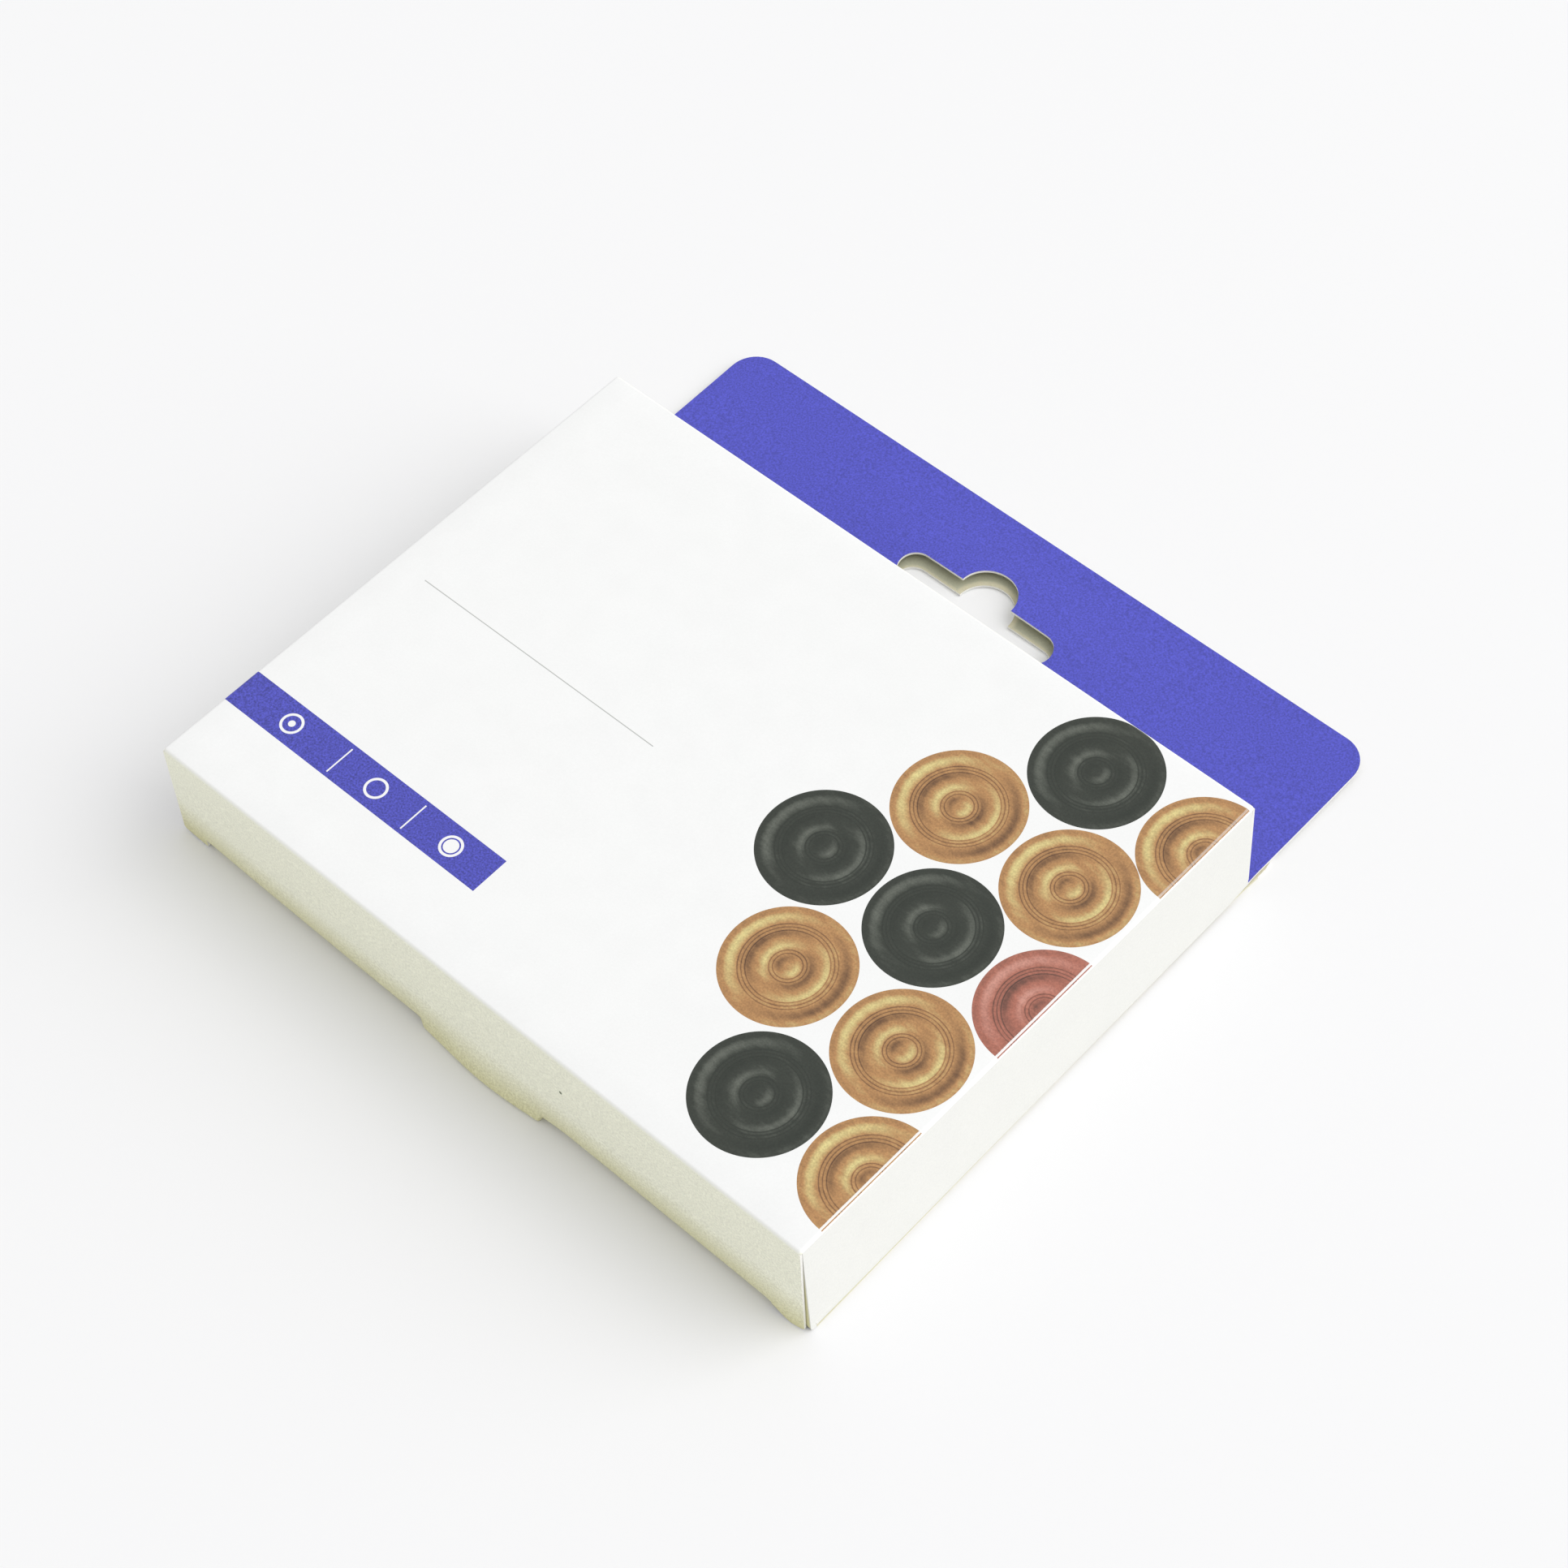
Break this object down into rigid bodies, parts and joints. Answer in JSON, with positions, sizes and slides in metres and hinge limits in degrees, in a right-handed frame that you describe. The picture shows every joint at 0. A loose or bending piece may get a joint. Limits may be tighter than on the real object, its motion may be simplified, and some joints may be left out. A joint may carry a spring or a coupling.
{
  "type": "boxed carrom coin set",
  "caption": "Flat folding carton with a blue hang header, tuck flaps at both ends and turned wooden discs printed on its front, holding a set of carrom coins.",
  "frame": {"origin": "middle of the carton's rear face, not counting the hang header", "axes": "+Z out of the printed front, +Y towards the hang header, +X to the right as the front is read"},
  "size_m": [0.13, 0.1306, 0.0205],
  "materials": {
    "white_board": "white coated carton board, satin",
    "blue_board": "carton board printed blue, satin",
    "black_wood": "turned wood, stained black and lacquered",
    "natural_wood": "turned wood, clear lacquered",
    "red_wood": "turned wood, stained red and lacquered"
  },
  "bodies": {
    "carton": {"front_panel": "white_board", "left_side_panel": "white_board", "right_side_panel": "white_board", "back_panel": "blue_board", "rear_panel": "white_board"},
    "bottom_closure": {"bottom_closure": "white_board"},
    "bottom_lip": {"bottom_lip": "white_board"},
    "bottom_left_dust_flap": {"bottom_left_dust_flap": "white_board"},
    "bottom_right_dust_flap": {"bottom_right_dust_flap": "white_board"},
    "top_closure": {"top_closure": "white_board"},
    "top_lip": {"top_lip": "white_board"},
    "top_left_dust_flap": {"top_left_dust_flap": "white_board"},
    "top_right_dust_flap": {"top_right_dust_flap": "white_board"},
    "coins": {"queen_coin_01": "red_wood", "queen_coin_02": "red_wood", "black_coin_01": "black_wood", "black_coin_02": "black_wood", "black_coin_03": "black_wood", "black_coin_04": "black_wood", "black_coin_05": "black_wood", "black_coin_06": "black_wood", "black_coin_07": "black_wood", "black_coin_08": "black_wood", "black_coin_09": "black_wood", "black_coin_10": "black_wood", "black_coin_11": "black_wood", "white_coin_01": "natural_wood", "white_coin_02": "natural_wood", "white_coin_03": "natural_wood", "white_coin_04": "natural_wood", "white_coin_05": "natural_wood", "white_coin_06": "natural_wood", "white_coin_07": "natural_wood", "white_coin_08": "natural_wood", "white_coin_09": "natural_wood", "white_coin_10": "natural_wood", "white_coin_11": "natural_wood"}
  },
  "joints": [
    {"name": "bottom_closure_fold", "type": "hinge", "parent": "carton", "child": "bottom_closure", "pos_m": [0, -0.049, 0.0199], "axis": [-1, 0, 0], "range_deg": [0, 135], "deforming": ["bottom_lip"]},
    {"name": "bottom_lip_fold", "type": "hinge", "parent": "bottom_closure", "child": "bottom_lip", "pos_m": [0, -0.0484, 0.0012], "axis": [-1, 0, 0], "range_deg": [0, 55]},
    {"name": "bottom_left_dust_fold", "type": "hinge", "parent": "carton", "child": "bottom_left_dust_flap", "pos_m": [-0.0644, -0.0481, 0.01], "axis": [0, 0, -1], "range_deg": [0, 48]},
    {"name": "bottom_right_dust_fold", "type": "hinge", "parent": "carton", "child": "bottom_right_dust_flap", "pos_m": [0.0644, -0.0481, 0.01], "axis": [0, 0, 1], "range_deg": [0, 48]},
    {"name": "top_closure_fold", "type": "hinge", "parent": "carton", "child": "top_closure", "pos_m": [0, 0.049, 0.0199], "axis": [1, 0, 0], "range_deg": [0, 135], "deforming": ["top_lip"]},
    {"name": "top_lip_fold", "type": "hinge", "parent": "top_closure", "child": "top_lip", "pos_m": [0, 0.0484, 0.0012], "axis": [1, 0, 0], "range_deg": [0, 55]},
    {"name": "top_left_dust_fold", "type": "hinge", "parent": "carton", "child": "top_left_dust_flap", "pos_m": [-0.0644, 0.0481, 0.01], "axis": [0, 0, 1], "range_deg": [0, 48]},
    {"name": "top_right_dust_fold", "type": "hinge", "parent": "carton", "child": "top_right_dust_flap", "pos_m": [0.0644, 0.0481, 0.01], "axis": [0, 0, -1], "range_deg": [0, 48]},
    {"name": "coin_shift", "type": "slide", "parent": "carton", "child": "coins", "axis": [1, 0, 0], "range_m": [-0.0018, 0.0018]}
  ],
  "couplings": [
    {"joint": "bottom_lip_fold", "follows": "bottom_closure_fold", "ratio": 0.4},
    {"joint": "bottom_left_dust_fold", "follows": "bottom_closure_fold", "ratio": 0.35},
    {"joint": "bottom_right_dust_fold", "follows": "bottom_closure_fold", "ratio": 0.35},
    {"joint": "top_lip_fold", "follows": "top_closure_fold", "ratio": 0.4},
    {"joint": "top_left_dust_fold", "follows": "top_closure_fold", "ratio": 0.35},
    {"joint": "top_right_dust_fold", "follows": "top_closure_fold", "ratio": 0.35}
  ]
}
